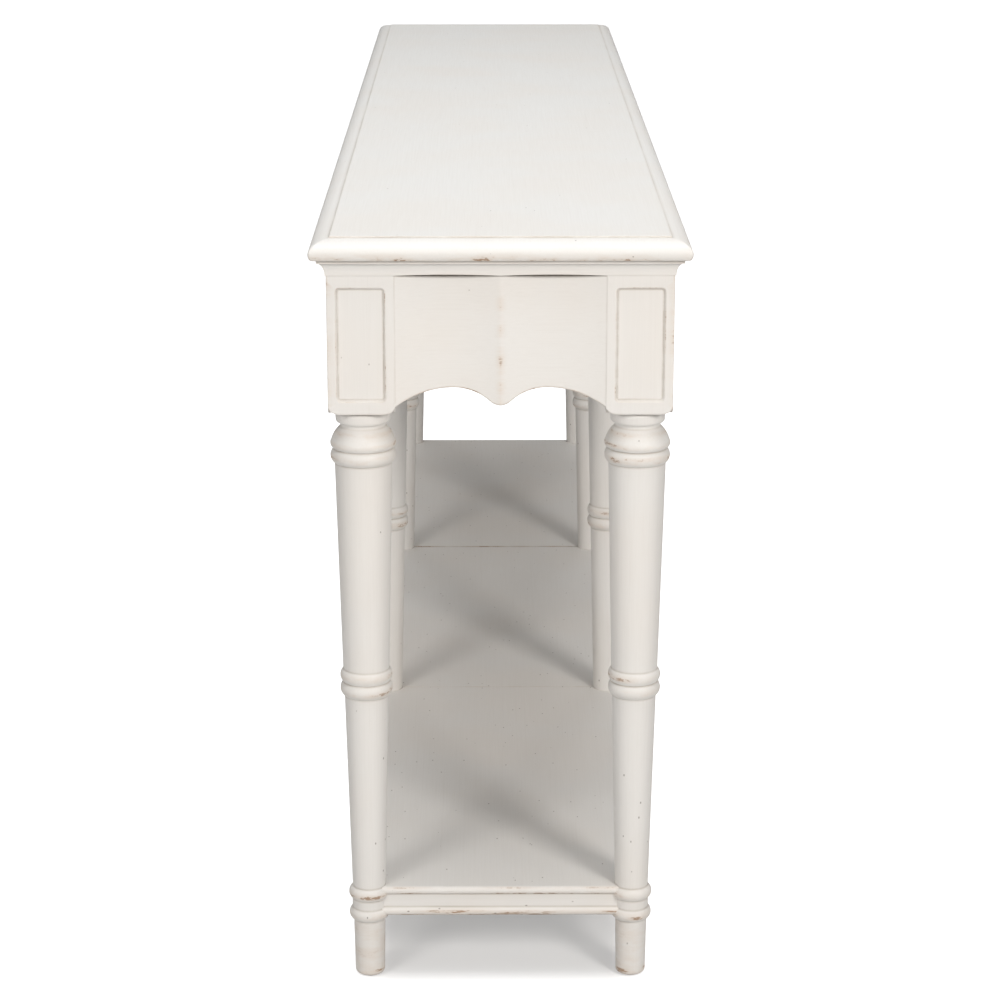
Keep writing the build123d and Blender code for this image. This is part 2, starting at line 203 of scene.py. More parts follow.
def antiquePaint(name, grainAxis):
    material, tree, shader, place = newMaterial(name)
    shader.inputs["Specular IOR Level"].default_value = 0.3
    brushed = stretched(tree, place, grainAxis, paint["strokeStretch"])
    strokes = noiseAt(tree, brushed, paint["strokeScale"], 4, 0.6)
    fibres = stretched(tree, place, grainAxis, paint["grainStretch"])
    grain = noiseAt(tree, fibres, paint["grainScale"], 3, 0.6)
    clouds = noiseAt(tree, place, paint["cloudScale"], 3)
    lying = list(paint["patchStretch"])
    if grainAxis < 2:
        lying[grainAxis] = paint["patchAlong"]
    values = {"Vector": place, "Location": paint["patchMove"], "Scale": lying}
    level = addNode(tree, "ShaderNodeMapping", values).outputs[0]
    patches = noiseAt(tree, level, paint["patchScale"], 5, 0.62)
    crumbs = noiseAt(tree, level, paint["crumbScale"], 4, 0.6)

    worn = addNode(tree, "ShaderNodeAttribute", attribute_name="worn").outputs["Fac"]
    # the glaze attribute holds glaze together with painted shade in creases, recesses and gaps between
    # parts
    glazeAndShade = addNode(tree, "ShaderNodeAttribute", attribute_name="glazeAndShade").outputs["Fac"]
    upward = addNode(tree, "ShaderNodeSeparateXYZ", {0: place}).outputs["Z"]
    low = rampTo(tree, upward, paint["lowWear"][1], paint["lowWear"][0], 1.0, 0.0)

    # thin cream coat, a little warmer and cooler in clouds, with the strokes showing
    coat = tintMix(tree, rampTo(tree, clouds, 0.35, 0.68), paint["creamCool"], paint["creamWarm"])
    coat = tintMix(tree, rampTo(tree, strokes, 0.3, 0.72, 0.0, 0.03), coat, paint["glazeAndShadeTint"])
    hair = rampTo(tree, grain, 0.52, 0.78, 0.0, 0.035)
    coat = tintMix(tree, hair, coat, paint["glazeAndShadeTint"])

    # brown glaze wiped into the corners, with painted shade in the creases, recesses and gaps that the
    # glaze attribute marks
    wipedGlazeAndShade = times(tree, glazeAndShade, rampTo(tree, patches, 0.3, 0.62, 0.45, 1.0))
    coat = tintMix(tree, times(tree, wipedGlazeAndShade, 0.5), coat, paint["glazeAndShadeTint"])

    # paint rubbed off the edges, in patches, down to tan and then to brown wood
    broken = times(tree, rampTo(tree, patches, 0.47, 0.62), rampTo(tree, crumbs, 0.34, 0.56))
    rub = times(tree, worn, broken)
    halo = times(tree, worn, rampTo(tree, patches, 0.38, 0.64, 0.04, 0.42))
    coat = tintMix(tree, halo, coat, paint["rubTint"])
    coat = tintMix(tree, rampTo(tree, rub, 0.35, 0.8, 0.0, 0.8), coat, paint["woodTint"])

    # specks and small chips, more of them low down on the legs
    spread = stretched(tree, place, grainAxis, paint["speckStretch"])
    dots = addNode(tree, "ShaderNodeTexVoronoi", {"Vector": spread, "Scale": paint["speckScale"]})
    small = rampTo(tree, dots.outputs["Distance"], 0.05, 0.11, 1.0, 0.0)
    often = rampTo(tree, low, 0.0, 1.0, 0.86, 0.5)
    rare = combine(tree, "GREATER_THAN", dots.outputs["Color"], often)
    speck = times(tree, small, rare)
    coat = tintMix(tree, times(tree, speck, 0.62), coat, paint["speckTint"])

    rough = rampTo(tree, strokes, 0.2, 0.8, 0.44, 0.56)
    rough = combine(tree, "ADD", rough, times(tree, rub, 0.25))
    height = times(tree, strokes, 0.6)
    height = combine(tree, "ADD", height, times(tree, crumbs, 0.35))
    height = combine(tree, "SUBTRACT", height, times(tree, rub, 1.3))
    normal = bumpFrom(tree, height, paint["bumpStrength"], paint["bumpDepth"])
    plug(tree, shader, {"Base Color": coat, "Roughness": rough, "Normal": normal})
    return material


paintAlongX = antiquePaint("creamPaintLengthways", 0)
paintAlongY = antiquePaint("creamPaintCrossways", 1)
paintUpright = antiquePaint("creamPaintUpright", 2)

bareWood = {
    "early": (0.52, 0.37, 0.22, 1),
    "late": (0.36, 0.23, 0.125, 1),
    "ringScale": 26,
    "ringStretch": 0.08,
    "ringCount": 9.0,
    "poreScale": 900,
    "poreStretch": 0.02,
}


def sawnWood(name, grainAxis):
    material, tree, shader, place = newMaterial(name)
    ringPlace = stretched(tree, place, grainAxis, bareWood["ringStretch"])
    porePlace = stretched(tree, place, grainAxis, bareWood["poreStretch"])
    rings = noiseAt(tree, ringPlace, bareWood["ringScale"], 2)
    bands = combine(tree, "FRACT", times(tree, rings, bareWood["ringCount"]), 0.0)
    pores = noiseAt(tree, porePlace, bareWood["poreScale"], 3, 0.6)
    tone = tintMix(tree, rampTo(tree, bands, 0.1, 0.95, 0.1, 0.9), bareWood["early"], bareWood["late"])
    tone = tintMix(tree, rampTo(tree, pores, 0.55, 0.75, 0.0, 0.5), tone, bareWood["late"])
    rough = rampTo(tree, pores, 0.3, 0.7, 0.62, 0.8)
    normal = bumpFrom(tree, pores, 0.4, 0.0004)
    plug(tree, shader, {"Base Color": tone, "Roughness": rough, "Normal": normal})
    return material


def platedSteel():
    material, tree, shader, place = newMaterial("platedSteel")
    shader.inputs["Metallic"].default_value = 1.0
    stain = noiseAt(tree, place, 320, 4, 0.6)
    tone = tintMix(tree, rampTo(tree, stain, 0.4, 0.75), (0.56, 0.55, 0.53, 1), (0.40, 0.37, 0.32, 1))
    plug(tree, shader, {"Base Color": tone, "Roughness": rampTo(tree, stain, 0.3, 0.7, 0.28, 0.5)})
    return material


def glidePlastic():
    material, tree, shader, place = newMaterial("glidePlastic")
    scuff = noiseAt(tree, place, 500, 4, 0.6)
    tone = tintMix(tree, rampTo(tree, scuff, 0.4, 0.7), (0.30, 0.27, 0.23, 1), (0.42, 0.38, 0.33, 1))
    rough = rampTo(tree, scuff, 0.3, 0.7, 0.35, 0.6)
    normal = bumpFrom(tree, scuff, 0.2, 0.0003)
    plug(tree, shader, {"Base Color": tone, "Roughness": rough, "Normal": normal})
    return material


woodAlongY = sawnWood("sawnWoodCrossways", 1)
woodAlongX = sawnWood("sawnWoodLengthways", 0)
steel = platedSteel()
nylon = glidePlastic()


def newShape():
    shape = bmesh.new()
    shape.verts.layers.float.new("worn")
    # glaze: glaze together with painted shade in creases, recesses and gaps between parts
    shape.verts.layers.float.new("glazeAndShade")
    return shape


def addPoint(shape, place, worn=0.0, glazeAndShade=0.0):
    vert = shape.verts.new(place)
    vert[shape.verts.layers.float["worn"]] = worn
    vert[shape.verts.layers.float["glazeAndShade"]] = glazeAndShade
    return vert


def skin(shape, rows):
    count = len(rows[0])
    for low, high in zip(rows, rows[1:]):
        for i in range(count):
            j = (i + 1) % count
            shape.faces.new((low[i], low[j], high[j], high[i]))


def skinAndCap(shape, rows):
    skin(shape, rows)
    shape.faces.new(rows[0])
    shape.faces.new(rows[-1])


def meshFrom(shape, name):
    bmesh.ops.recalc_face_normals(shape, faces=shape.faces)
    mesh = bpy.data.meshes.new(name)
    shape.to_mesh(mesh)
    shape.free()
    return mesh


def finishPiece(shape, name, material, nodes, sharp):
    bmesh.ops.remove_doubles(shape, verts=shape.verts, dist=sameSpot)
    placePiece(meshFrom(shape, name), name, material, nodes, sharp)


def placePiece(mesh, name, material, nodes, sharp):
    mesh.materials.clear()
    mesh.materials.append(material)
    mesh.shade_smooth()
    mesh.set_sharp_from_angle(angle=radians(sharp))
    piece = addObject(name, mesh)
    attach(piece, "root")
    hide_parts(*nodes)


def newTree(name, inputs):
    tree = bpy.data.node_groups.new(name, "GeometryNodeTree")
    tree.interface.new_socket("Geometry", in_out="INPUT", socket_type="NodeSocketGeometry")
    for label, kind in inputs:
        tree.interface.new_socket(label, in_out="INPUT", socket_type="NodeSocket" + kind)
    tree.interface.new_socket("Geometry", in_out="OUTPUT", socket_type="NodeSocketGeometry")
    return tree, tree.nodes.new("NodeGroupInput"), tree.nodes.new("NodeGroupOutput")


def endTree(tree, shapeSocket, start, end):
    real = addNode(tree, "GeometryNodeRealizeInstances", {0: shapeSocket})
    coated = addNode(tree, "GeometryNodeSetMaterial", {"Geometry": real.outputs[0]})
    tree.links.new(start.outputs["Material"], coated.inputs["Material"])
    tree.links.new(coated.outputs[0], end.inputs[0])


def bakeTree(mesh, tree, values):
    carrier = addObject("carrier", mesh)
    modifier = carrier.modifiers.new("nodes", "NODES")
    modifier.node_group = tree
    for label, value in values.items():
        modifier[tree.interface.items_tree[label].identifier] = value
    bpy.context.view_layer.update()
    depsgraph = bpy.context.evaluated_depsgraph_get()
    baked = bpy.data.meshes.new_from_object(
        carrier.evaluated_get(depsgraph), preserve_all_data_layers=True, depsgraph=depsgraph
    )
    carrier.modifiers.remove(modifier)
    bpy.data.objects.remove(carrier)
    return baked


def lineMesh(name, places, edges, layers):
    # points and edges to sweep along, with a number for each point in every layer
    mesh = bpy.data.meshes.new(name)
    mesh.from_pydata(places, edges, [])
    for label, numbers in layers.items():
        mesh.attributes.new(label, "FLOAT", "POINT").data.foreach_set("value", numbers)
    return mesh


def arcThrough(start, via, end, steps):
    # points on the circle through three points, without the first
    ax, ay = start
    bx, by = via
    cx, cy = end
    d = 2 * (ax * (by - cy) + bx * (cy - ay) + cx * (ay - by))
    ux = ((ax**2 + ay**2) * (by - cy) + (bx**2 + by**2) * (cy - ay) + (cx**2 + cy**2) * (ay - by)) / d
    uy = ((ax**2 + ay**2) * (cx - bx) + (bx**2 + by**2) * (ax - cx) + (cx**2 + cy**2) * (bx - ax)) / d
    radius = hypot(ax - ux, ay - uy)
    first = atan2(ay - uy, ax - ux)
    middle = atan2(by - uy, bx - ux)
    last = atan2(cy - uy, cx - ux)
    full = 2 * pi
    turn = (last - first) % full
    if (middle - first) % full > turn:
        turn -= full
    return [
        (ux + radius * cos(first + turn * k / steps), uy + radius * sin(first + turn * k / steps))
        for k in range(1, steps + 1)
    ]


print("stage: the top board")

topBoard = {
    "edgeRun": 22.5,
    "endRun": 1.6,  # the thumbnail runs this much further in across the two ends
    "widest": 7.5,  # above the underside
    "thumbRise": 13.7,
    "underRound": 4.0,
    "quirk": 1.8,
    "cornerRound": 2.6,
    "lowEdgeWear": (0.3, 0.8, 1, 1, 0.8, 0.5, 0.32),
    "stepLong": 0.009,
    "dent": 0.35,
}


def topSection():
    # (inset, height above the underside, worn, glaze with painted shade), from the underside up to the
    # field
    under, widest = topBoard["underRound"], topBoard["widest"]
    section = [(40, 0, 0, 0), (9, 0, 0, 0.1), (under + 1, 0, 0.2, 0)]
    for step, worn in enumerate(topBoard["lowEdgeWear"]):
        angle = radians(-90 + 90 * step / 6)
        section.append((under - under * cos(angle), widest + widest * sin(angle), worn, 0))
    for step in range(1, 17):
        angle = radians(90 * step / 16)
        run, rise = topBoard["edgeRun"], topBoard["thumbRise"]
        worn = (0.2, 0.1)[step - 1] if step < 3 else 0.0
        # painted shade with glaze in the crease at the foot of the quirk
        glazeAndShade = 1.0 if step == 16 else 0.25 if step == 15 else 0.0
        section.append((run - run * cos(angle), widest + rise * sin(angle), worn, glazeAndShade))
    run, thick = topBoard["edgeRun"], widest + topBoard["thumbRise"] + topBoard["quirk"]
    section += [
        (run + 0.15, thick - 0.5, 0.15, 0.4),
        (run + 0.5, thick - 0.1, 0.2, 0),
        (run + 1.0, thick, 0.15, 0),
        (run + 3.2, thick, 0, 0),
        (run + 12, thick, 0, 0),
    ]
    return section


def boardRing(halfX, halfY, corner, stepsX, stepsY):
    # anticlockwise from the right end's front corner, with each point's outward direction
    ring = []
    farX, farY = halfX - corner, halfY - corner
    turns = [(1, -1, 0), (1, 1, 90), (-1, 1, 180), (-1, -1, 270)]
    for number, (sx, sy, angle) in enumerate(turns):
        for k in range(5):
            a = radians(angle - 90 + 90 * k / 4)
            out = Vector((cos(a), sin(a), 0))
            ring.append((Vector((sx * farX, sy * farY, 0)) + out * corner, out))
        steps = stepsY if number % 2 == 0 else stepsX
        nx, ny, _ = turns[(number + 1) % 4]
        out = Vector((cos(radians(angle)), sin(radians(angle)), 0))
        first = Vector((sx * farX, sy * farY, 0)) + out * corner
        last = Vector((nx * farX, ny * farY, 0)) + out * corner
        for k in range(1, steps):
            ring.append((first.lerp(last, k / steps), out))
    return ring


def makeTopBoard():
    lo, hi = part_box("top_board")
    halfX, halfY = hi.x, hi.y
    stepsX = int(2 * halfX / topBoard["stepLong"])
    stepsY = int(4 * halfY / topBoard["stepLong"])
    shape = newShape()
    rows = []
    for inset, height, worn, glazeAndShade in topSection():
        corner = (topBoard["cornerRound"] * max(0.0, 1 - inset / topBoard["edgeRun"]) + 0.4) * mm
        row = []
        further = max(0.0, min(inset, topBoard["edgeRun"]) - topBoard["underRound"])
        ringX = halfX - (inset + further * (topBoard["endRun"] - 1)) * mm
        up = Vector((0, 0, lo.z + height * mm))
        for place, out in boardRing(ringX, halfY - inset * mm, corner, stepsX, stepsY):
            dent = topBoard["dent"] * mm * worn * (noise.noise(place * 60) - 0.55)
            row.append(addPoint(shape, place + out * dent + up, worn, glazeAndShade))
        rows.append(row)
    skinAndCap(shape, rows)
    finishPiece(shape, "topBoard", paintAlongX, ["top_board"], 32)


makeTopBoard()

print("stage: the coves")

cove = {
    "lip": 1.2,
    "reach": 10.0,
    "band": 4.0,  # upright part at the top
    "relief": 1.3,
    "trim": 1.8,  # lower edge, above the drawn box
    "step": 0.005,
}


def makeCove(name, node, halfLong, halfShort, turn, scallops, material):
    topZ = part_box(node)[1].z
    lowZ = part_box(node)[0].z + cove["trim"] * mm
    stations = int(2 * (halfLong + cove["reach"] * mm) / cove["step"])
    ellipse = topZ - lowZ - cove["band"] * mm
    lip, reach = cove["lip"] * mm, cove["reach"] * mm
    shape = newShape()
    rows = []
    for station in range(stations + 1):
        along = (station / stations * 2 - 1) * (halfLong + reach)
        rise = 0.0
        for start, length in scallops:
            share = (along - start) / length
            if 0 < share < 1:
                rise = 4 * share * (1 - share) * cove["relief"] * mm
        first = asin(rise / ellipse)
        # glaze with painted shade at the foot, where the cove meets the apron, and at the top, under
        # the top board
        points = [(0.0, rise, 0.0, 0.9)]
        for step in range(11):
            angle = first + (pi / 2 - first) * step / 10
            worn = 0.25 if step == 0 else 0.1 if step == 1 else 0.0
            glazeAndShade = 0.35 if step > 8 else 0.0
            points.append((reach - (reach - lip) * cos(angle), ellipse * sin(angle), worn, glazeAndShade))
        full = topZ - lowZ
        points += [(reach, ellipse + 0.5 * mm, 0.3, 0.2), (reach, full, 0, 0.8), (0.0, full, 0, 0)]
        row = []
        for out, height, worn, glazeAndShade in points:
            limit = halfLong + out
            s = max(-limit, min(limit, along))
            place = Matrix.Rotation(turn, 3, "Z") @ Vector((s, halfShort + out, lowZ + height))
            row.append(addPoint(shape, place, worn, glazeAndShade))
        rows.append(row)
    skinAndCap(shape, rows)
    finishPiece(shape, name, material, [node], 40)


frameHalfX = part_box("leg_front_4")[1].x
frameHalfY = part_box("leg_back_4")[1].y
legPlaces = {}
for number in range(1, 5):
    for side in ("front", "back"):
        low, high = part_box(f"leg_{side}_{number}")
        legPlaces[side, number] = ((low.x + high.x) / 2, (low.y + high.y) / 2)
pairX = [legPlaces["back", number][0] for number in (1, 2, 3, 4)]
pairY = legPlaces["back", 1][1]
headHalf = frameHalfX - pairX[3]
endHalf = pairY - headHalf
bayHalf = (pairX[1] - pairX[0]) / 2 - headHalf
endScallops = [(-endHalf, endHalf), (0.0, endHalf)]
sideScallops = []
for legX in pairX[:3]:
    start = legX + headHalf
    sideScallops += [(start, bayHalf), (start + bayHalf, bayHalf)]
makeCove("coveRight", "cove_right", frameHalfY, frameHalfX, -pi / 2, endScallops, paintAlongY)
makeCove("coveLeft", "cove_left", frameHalfY, frameHalfX, pi / 2, endScallops, paintAlongY)
makeCove("coveBack", "cove_back", frameHalfX, frameHalfY, 0.0, sideScallops, paintAlongX)
makeCove("coveFront", "cove_front", frameHalfX, frameHalfY, pi, sideScallops, paintAlongX)

print("stage: the aprons")

apron = {
    "thickness": 22.0,
    "setback": 0.5,
    "scallop": 9.0,
    "endZ": 717.0,
    "crestZ": 738.5,
    "tipZ": 719.0,
    "tipShare": 0.15,
    "crestPlace": 0.44,
    "arris": 1.4,
    "ridgeRound": 0.02,  # of the half length
    "hollowLean": 0.92,  # below 1 the hollow is deepest a little nearer the ridge
    "slotDrop": 2.0,  # open slot between the hollow of a scallop and the cove
    "slotDepth": 6.0,
    "ridgeHalf": 8.0,  # half width of the worn ridge
    "tipHalf": 14.0,
    "jointRun": 1.2,  # glazed strip beside each leg, with painted shade where the apron meets it
    "jointGlazeAndShade": 0.45,
}


def scallopDepth(share):
    # hollow of the face at a place from 0 (ridge) to 1 (leg), as part of the full depth
    share = sqrt(share**2 + apron["ridgeRound"] ** 2) ** apron["hollowLean"]
    return max(0.0, 1 - (2 * share - 1) ** 2) if share < 1 else 0.0


def apronEdge(place, half):
    # height of the lower edge: two arches with a rounded point between them
    crest, crestZ = apron["crestPlace"] * half, apron["crestZ"]
    rise = crestZ - apron["tipZ"]
    tip = apron["tipShare"] * half
    arch = (rise**2 - 2 * rise * tip + crest**2) / (2 * rise)
    meeting = crest * tip / (tip + arch)
    place = abs(place)
    if place <= meeting:
        return apron["tipZ"] + tip - sqrt(tip**2 - place**2)
    if place <= crest:
        return crestZ - arch + sqrt(arch**2 - (crest - place) ** 2)
    fall, run = crestZ - apron["endZ"], half - crest
    outer = (run**2 + fall**2) / (2 * fall)
    return crestZ - outer + sqrt(outer**2 - (place - crest) ** 2)


def makeApron(name, node, centre, turn, half, material):
    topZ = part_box(node)[1].z
    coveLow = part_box("cove_right")[0].z / mm + cove["trim"]
    halfMm = half / mm
    turned = Matrix.Rotation(turn, 3, "Z")
    steps = 2 * max(60, int(halfMm / 2.5))
    shape = newShape()
    rows = []
    for step in range(steps + 1):
        along = (step / steps * 2 - 1) * halfMm
        face = -apron["setback"] - apron["scallop"] * scallopDepth(abs(along) / halfMm)
        low, high = apronEdge(along, halfMm), topZ / mm
        back, round_ = -apron["thickness"], apron["arris"]
        ridge = max(0.0, 1 - abs(along) / apron["ridgeHalf"]) ** 1.5
        nearTip = max(0.0, 1 - abs(along) / apron["tipHalf"])
        joint = max(0.0, 1 - (halfMm - abs(along)) / apron["jointRun"]) * apron["jointGlazeAndShade"]
        hollow = scallopDepth(abs(along) / halfMm)
        ledge = coveLow - apron["slotDrop"] * hollow
        behind = face - apron["slotDepth"] * min(1.0, 3 * hollow)
        # glaze with painted shade in the slot under the cove, in the strip beside each leg, near the
        # tip and on the underside
        points = [
            (behind, high, 0, 0.5),
            (behind, ledge, 0, 1),
            (face - 0.8, ledge, 0, 1),
            (face, ledge - 0.8, 0.2, 0.5),
            (face, ledge - 3, 0, joint),
        ]
        for k in range(1, 13):
            z = ledge - 3 + (low + 8 - ledge) * k / 13
            points.append((face, z, ridge * (0.6 + 0.4 * (k / 13)), joint))
        points += [
            (face, low + 5, ridge * 0.9, joint),
            (face, low + 2.6, max(ridge, 0.25 * nearTip), 0),
            (face, low + round_, 0.75, 0.2 * nearTip),
            (face - 0.3 * round_, low + 0.3 * round_, 1, 0.3 * nearTip),
            (face - round_, low, 0.8, 0),
            (face - 4, low, 0.1, 0.2),
            (back + 2, low, 0, 0.2),
            (back + 0.5, low + 0.5, 0.4, 0),
            (back, low + 2, 0, 0),
            (back, high, 0, 0),
        ]
        row = []
        for out, z, worn, glazeAndShade in points:
            place = turned @ Vector((along * mm, out * mm, z * mm)) + Vector(centre)
            row.append(addPoint(shape, place, worn, glazeAndShade))
        rows.append(row)
    skinAndCap(shape, rows)
    finishPiece(shape, name, material, [node], 50)


makeApron("apronRight", "apron_right", (frameHalfX, 0, 0), -pi / 2, endHalf, paintAlongY)
makeApron("apronLeft", "apron_left", (-frameHalfX, 0, 0), pi / 2, endHalf, paintAlongY)
for number in (1, 2, 3):
    middle = (pairX[number - 1] + pairX[number]) / 2
    for side, y, turn in (("back", frameHalfY, 0.0), ("front", -frameHalfY, pi)):
        name, node = f"apron{side.capitalize()}{number}", f"apron_{side}_{number}"
        makeApron(name, node, (middle, y, 0), turn, bayHalf, paintAlongX)

print("stage: the legs")

leg = {
    "sides": 88,
    # turned profile from the foot up: (radius, height), or (via radius, via height, radius, height)
    "profile": [
        (9.0, 2.0),
        (12.8, 2.0),
        (16.3, 3.5, 17.8, 7.0),
        (18.9, 73.3),
        (24.1, 81.2, 20.5, 89.0),
        (20.5, 100.8),
        (24.5, 108.7, 19.9, 116.5),
        (25.9, 359.7),
        (30.8, 369.0, 27.2, 377.2),
        (30.8, 385.0, 27.2, 393.0),
        (33.2, 644.5),
        (38.0, 653.6, 33.6, 661.8),
        (37.9, 666.6, 36.8, 672.0),
        (32.6, 681.0, 26.6, 687.8),
        (26.9, 691.6, 30.2, 693.4),
        (31.4, 695.2),
        (31.8, 704.0),
        (31.0, 706.2),
        (28.6, 707.0),
        (28.6, 712.0),
    ],
    "plainShaft": ((130, 350), (400, 635)),  # heights with no worn edges
    "shaftTop": 690,  # nothing is worn above this
    "footTop": 73,
    "toeTop": 10,
    "headBottom": 708.5,
    "headCornerRise": 6.2,
    "headTurnFrom": 45.0,
    "headTurnTo": 52.95,
    "arris": 1.2,
    "jointArris": 0.35,
    "collarInset": 29.5,
    "collarRise": 1.2,
    "cornerWear": 0.6,
    "rowsFrom": 717.5,  # heights of the head's rows, in step with the panels
    "rowsOver": 144.5,
    "rowSteps": 22,
}

panel = {
    "width": 56.0,
    "low": 723.5,
    "high": 855.5,
    "corner": 5.0,
    "depth": 3.2,
    "bevel": 2.4,
}


def turnedProfile():
    # the profile as points with worn and glaze with painted shade, denser near its creases
    points = [leg["profile"][0]]
    for entry in leg["profile"][1:]:
        last = points[-1]
        if len(entry) == 4:
            points += arcThrough(last, entry[:2], entry[2:], 9)
            continue
        length = hypot(entry[0] - last[0], entry[1] - last[1])
        # marks close to both ends and even steps between them
        marks = [d for d in (1.0, 2.5, 5.0) if 2 * d < length]
        spans = int(length // 40)
        inner = [length * k / (spans + 1) for k in range(1, spans + 1)]
        places = sorted(set(marks + [length - d for d in marks] + inner))
        wide, tall = entry[0] - last[0], entry[1] - last[1]
        points += [(last[0] + wide * d / length, last[1] + tall * d / length) for d in places]
        points.append(entry)
    # a crease is where the profile turns outwards
    creases = []
    for before, here, after in zip(points, points[1:], points[2:]):
        first = atan2(here[1] - before[1], here[0] - before[0])
        second = atan2(after[1] - here[1], after[0] - here[0])
        turn = (second - first + pi) % (2 * pi) - pi
        if turn < -0.35:
            creases.append((here, min(1.0, -turn)))
    dressed = []
    for radius, height in points:
        near = [r for r, z in points if abs(z - height) < 9]
        proud = (radius - sum(near) / len(near)) / 2.0
        worn = max(0.0, min(1.0, proud)) ** 1.3
        if height > leg["shaftTop"] or any(low < height < high for low, high in leg["plainShaft"]):
            worn = 0.0
        if height < leg["footTop"]:
            worn = 0.95 if height < leg["toeTop"] else 0.45
        # glaze with painted shade in the creases of the turning
        glazeAndShade = 0.0
        for (r, z), strength in creases:
            glazeAndShade = max(glazeAndShade, strength * (1 - hypot(radius - r, height - z) / 1.8))
        dressed.append((radius, height, worn, glazeAndShade))
    return dressed


def turningTree():
    # sweeps a ring up a line of points, each with its own radius
    tree, start, end = newTree("turnedLeg", [("Sides", "Int"), ("Material", "Material")])
    line = addNode(tree, "GeometryNodeMeshToCurve", {"Mesh": start.outputs["Geometry"]})
    radius = addNode(tree, "GeometryNodeInputNamedAttribute", {"Name": "turnRadius"}, data_type="FLOAT")
    values = {"Curve": line.outputs[0], "Radius": radius.outputs[0]}
    sized = addNode(tree, "GeometryNodeSetCurveRadius", values)
    values = {"Resolution": start.outputs["Sides"], "Radius": 1.0}
    ring = addNode(tree, "GeometryNodeCurvePrimitiveCircle", values)
    values = {"Curve": sized.outputs[0], "Profile Curve": ring.outputs[0], "Fill Caps": True}
    tube = addNode(tree, "GeometryNodeCurveToMesh", values)
    if "Scale" in tube.inputs:
        tree.links.new(radius.outputs[0], tube.inputs["Scale"])
    endTree(tree, tube.outputs[0], start, end)
    return tree


def turnLeg():
    points = turnedProfile()
    radii, heights, worn, glazeAndShade = zip(*points)
    layers = {"turnRadius": [radius * mm for radius in radii], "worn": worn, "glazeAndShade": glazeAndShade}
    edges = [(k, k + 1) for k in range(len(points) - 1)]
    mesh = lineMesh("turningLine", [(0, 0, z * mm) for z in heights], edges, layers)
    return bakeTree(mesh, turningTree(), {"Sides": leg["sides"], "Material": paintUpright})


def panelOutline(grow, sink, acrossCount, upCount):
    # points of the panel's outline on a face, in step with the face's own border
    halfW = panel["width"] / 2 + grow
    low, high = panel["low"] - grow, panel["high"] + grow
    corner = max(0.8, panel["corner"] + grow)
    turnSteps = 3
    sides = [
        ((-halfW, low), (halfW, low), 225, acrossCount),
        ((halfW, low), (halfW, high), 315, upCount),
        ((halfW, high), (-halfW, high), 45, acrossCount),
        ((-halfW, high), (-halfW, low), 135, upCount),
    ]
    outline = []
    for (u0, z0), (u1, z1), angle, count in sides:
        length = hypot(u1 - u0, z1 - z0)
        du, dz = (u1 - u0) / length, (z1 - z0) / length
        nu, nz = -dz, du  # inwards
        lastTurn = count - 1 - turnSteps
        for k in range(count - 1):
            if turnSteps < k < lastTurn:
                d = corner + (length - 2 * corner) * (k - turnSteps) / (lastTurn - turnSteps)
                outline.append((u0 + du * d, z0 + dz * d, sink))
                continue
            if k <= turnSteps:
                a = radians(angle + 45 * k / turnSteps)
                cu, cz = u0 + (du + nu) * corner, z0 + (dz + nz) * corner
            else:
                a = radians(angle + 45 + 45 * (k - lastTurn) / turnSteps)
                cu, cz = u1 + (-du + nu) * corner, z1 + (-dz + nz) * corner
            outline.append((cu + corner * cos(a), cz + corner * sin(a), sink))
    return outline


